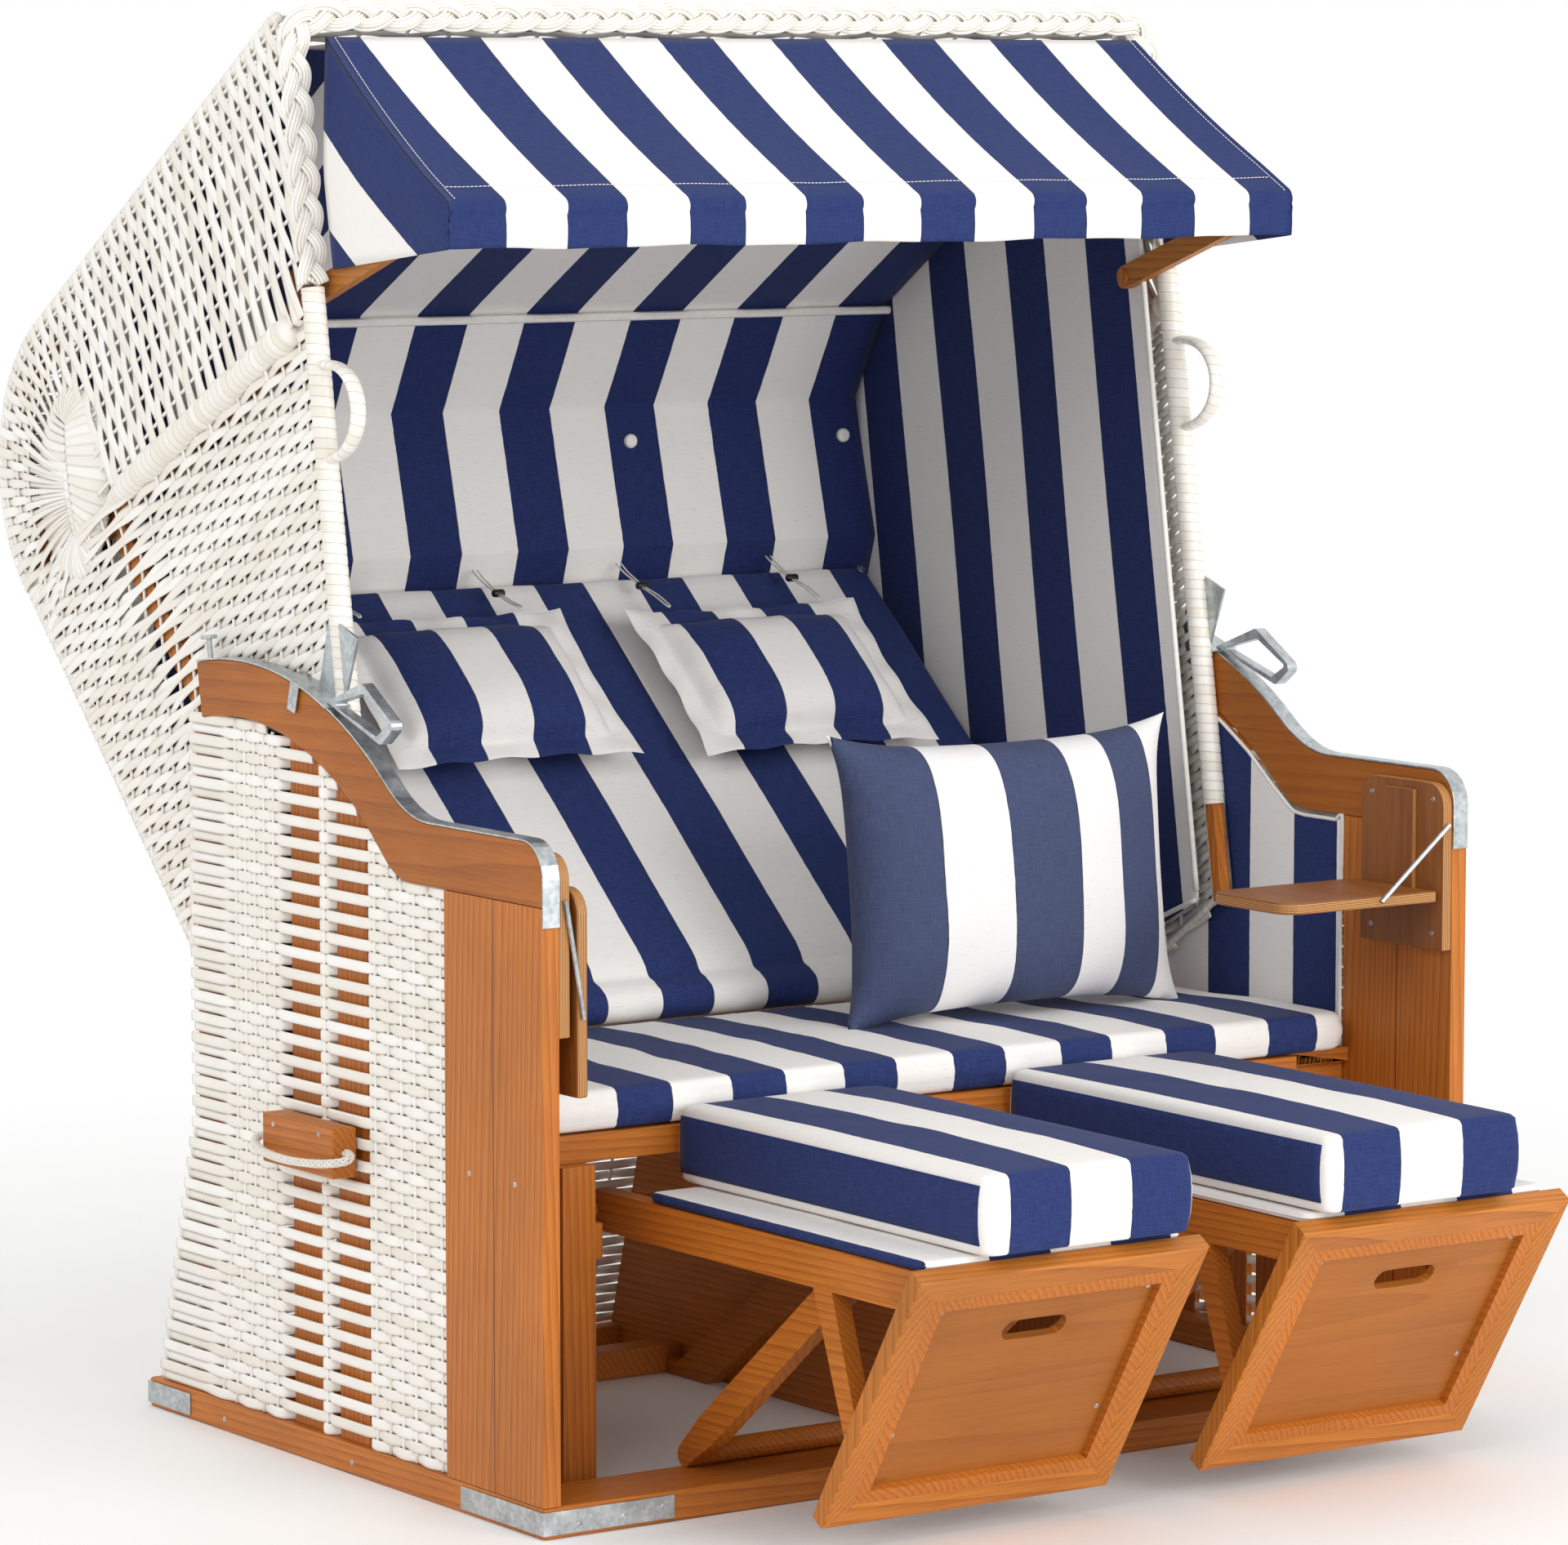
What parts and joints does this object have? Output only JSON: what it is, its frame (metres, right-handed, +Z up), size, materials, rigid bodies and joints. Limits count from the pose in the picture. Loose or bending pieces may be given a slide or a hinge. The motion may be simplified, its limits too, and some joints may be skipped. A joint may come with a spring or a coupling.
{
  "type": "hooded beach chair",
  "caption": "Hooded beach chair for two: wooden base with wicker sides, reclining hood with striped awning, pull-out footrests, folding side tables and loose cushions.",
  "frame": {"origin": "on the ground under the middle of the base frame, on the centre partition's underside", "axes": "+Z up; -Y is the open front where the footrests pull out, +Y the back; +X is the right side seen from the front"},
  "size_m": [1.3086, 1.5853, 1.5488],
  "materials": {
    "pine": "satin oiled",
    "armrest_board": "satin oiled",
    "plywood": "satin oiled",
    "wicker": "woven",
    "galvanised": "galvanised",
    "canvas_navy": "woven stripe",
    "canvas_white": "woven",
    "faded_navy": "faded woven",
    "rope": "twisted",
    "white_plastic": "smooth"
  },
  "bodies": {
    "root": {"base_frame": "pine", "centre_partition": "pine", "side_frame_left": "pine", "side_frame_right": "pine", "seat_deck": "pine", "bay_stile_left": "pine", "bay_stile_right": "pine", "carry_block_left": "pine", "carry_block_right": "pine", "armrest_left": "armrest_board", "armrest_right": "armrest_board", "table_backplate_left": "plywood", "table_backplate_right": "plywood", "side_wicker_left": "wicker", "side_wicker_right": "wicker", "base_back_panel": "wicker", "corner_bracket_front_left": "galvanised", "corner_bracket_front_right": "galvanised", "corner_bracket_rear_left": "galvanised", "corner_bracket_rear_right": "galvanised", "armrest_strip_left": "galvanised", "armrest_strip_right": "galvanised", "seat_cushion": "canvas_navy", "throw_pillow": "faded_navy", "carry_rope_left": "rope", "carry_rope_right": "rope"},
    "hood": {"hood_side_left": "wicker", "hood_side_right": "wicker", "hood_shell": "wicker", "hood_liner": "canvas_navy", "hood_front_bar": "wicker", "hood_frame": "pine", "hinge_plate_left": "galvanised", "hinge_plate_right": "galvanised", "backrest": "canvas_navy", "head_pillow_left": "canvas_white", "head_pillow_right": "canvas_white", "liner_batten": "white_plastic", "latch_plate_left": "galvanised", "latch_plate_right": "galvanised"},
    "awning": {"awning_arms": "pine", "awning_cloth": "canvas_navy"},
    "latch_left": {"latch_handle_left": "galvanised"},
    "latch_right": {"latch_handle_right": "galvanised"},
    "table_carriage_left": {"table_slider_left": "galvanised"},
    "table_left": {"table_board_left": "plywood"},
    "table_stay_left": {"table_stay_left": "galvanised"},
    "runner_left": {"footrest_runner_left": "pine"},
    "footrest_left": {"footrest_frame_left": "pine", "footrest_pad_left": "canvas_white"},
    "prop_left": {"footrest_prop_left": "pine"},
    "footrest_cushion_left": {"footrest_cushion_left": "canvas_navy"},
    "table_carriage_right": {"table_slider_right": "galvanised"},
    "table_right": {"table_board_right": "plywood"},
    "table_stay_right": {"table_stay_right": "galvanised"},
    "runner_right": {"footrest_runner_right": "pine"},
    "footrest_right": {"footrest_frame_right": "pine", "footrest_pad_right": "canvas_white"},
    "prop_right": {"footrest_prop_right": "pine"},
    "footrest_cushion_right": {"footrest_cushion_right": "canvas_navy"}
  },
  "joints": [
    {"name": "hood_tilt", "type": "hinge", "parent": "root", "child": "hood", "pos_m": [0, 0.2, 0.345], "axis": [-1, 0, 0], "range_deg": [-5, 18]},
    {"name": "awning_fold", "type": "hinge", "parent": "hood", "child": "awning", "pos_m": [0, 0.13, 1.23], "axis": [-1, 0, 0], "range_deg": [0, 55], "deforming": ["awning_cloth"]},
    {"name": "latch_lift_left", "type": "hinge", "parent": "hood", "child": "latch_left", "pos_m": [-0.59, 0.01679, 0.81012], "axis": [-1, 0, 0], "range_deg": [0, 35]},
    {"name": "latch_lift_right", "type": "hinge", "parent": "hood", "child": "latch_right", "pos_m": [0.59, 0.01679, 0.81012], "axis": [-1, 0, 0], "range_deg": [0, 35]},
    {"name": "table_slide_left", "type": "slide", "parent": "root", "child": "table_carriage_left", "axis": [0, 0, 1], "range_m": [0, 0.11673]},
    {"name": "table_fold_left", "type": "hinge", "parent": "table_carriage_left", "child": "table_left", "pos_m": [-0.552, -0.335, 0.45029], "axis": [0, 1, 0], "range_deg": [0, 90]},
    {"name": "table_stay_turn_left", "type": "hinge", "parent": "root", "child": "table_stay_left", "pos_m": [-0.5735, -0.4078, 0.645], "axis": [0, -1, 0], "range_deg": [0, 40.6]},
    {"name": "table_slide_right", "type": "slide", "parent": "root", "child": "table_carriage_right", "axis": [0, 0, -1], "range_m": [0, 0.11673]},
    {"name": "table_fold_right", "type": "hinge", "parent": "table_carriage_right", "child": "table_right", "pos_m": [0.552, -0.335, 0.567], "axis": [0, 1, 0], "range_deg": [0, 90]},
    {"name": "table_stay_turn_right", "type": "hinge", "parent": "root", "child": "table_stay_right", "pos_m": [0.5735, -0.4078, 0.645], "axis": [0, -1, 0], "range_deg": [0, 40.6]},
    {"name": "footrest_slide_left", "type": "slide", "parent": "root", "child": "runner_left", "axis": [0, 0.8371, -0.547], "range_m": [0, 0.46801]},
    {"name": "footrest_tip_left", "type": "hinge", "parent": "runner_left", "child": "footrest_left", "pos_m": [-0.2375, -0.185, 0.285], "axis": [-1, 0, 0], "range_deg": [0, 31.6]},
    {"name": "prop_fold_left", "type": "hinge", "parent": "footrest_left", "child": "prop_left", "pos_m": [-0.2375, -0.618, 0.283], "axis": [1, 0, 0], "range_deg": [0, 38.74]},
    {"name": "footrest_cushion_lift_left", "type": "hinge", "parent": "root", "child": "footrest_cushion_left", "pos_m": [-0.2135, -0.25, 0.421], "axis": [-1, 0, 0], "range_deg": [0, 90.1]},
    {"name": "footrest_slide_right", "type": "slide", "parent": "root", "child": "runner_right", "axis": [0, 0.8371, -0.547], "range_m": [0, 0.46801]},
    {"name": "footrest_tip_right", "type": "hinge", "parent": "runner_right", "child": "footrest_right", "pos_m": [0.2375, -0.185, 0.285], "axis": [-1, 0, 0], "range_deg": [0, 31.6]},
    {"name": "prop_fold_right", "type": "hinge", "parent": "footrest_right", "child": "prop_right", "pos_m": [0.2375, -0.618, 0.283], "axis": [1, 0, 0], "range_deg": [0, 38.74]},
    {"name": "footrest_cushion_lift_right", "type": "hinge", "parent": "root", "child": "footrest_cushion_right", "pos_m": [0.2135, -0.25, 0.421], "axis": [-1, 0, 0], "range_deg": [0, 90.1]}
  ],
  "couplings": [
    {"joint": "table_slide_left", "follows": "table_fold_left", "m_per_rad": 0.074301},
    {"joint": "table_stay_turn_left", "follows": "table_fold_left", "ratio": 0.45085},
    {"joint": "table_slide_right", "follows": "table_fold_right", "m_per_rad": 0.074301},
    {"joint": "table_stay_turn_right", "follows": "table_fold_right", "ratio": 0.45085},
    {"joint": "footrest_tip_left", "follows": "footrest_slide_left", "rad_per_m": 1.1747},
    {"joint": "prop_fold_left", "follows": "footrest_slide_left", "rad_per_m": 1.4408},
    {"joint": "footrest_cushion_lift_left", "follows": "footrest_slide_left", "rad_per_m": 3.3563},
    {"joint": "footrest_tip_right", "follows": "footrest_slide_right", "rad_per_m": 1.1747},
    {"joint": "prop_fold_right", "follows": "footrest_slide_right", "rad_per_m": 1.4408},
    {"joint": "footrest_cushion_lift_right", "follows": "footrest_slide_right", "rad_per_m": 3.3563}
  ]
}
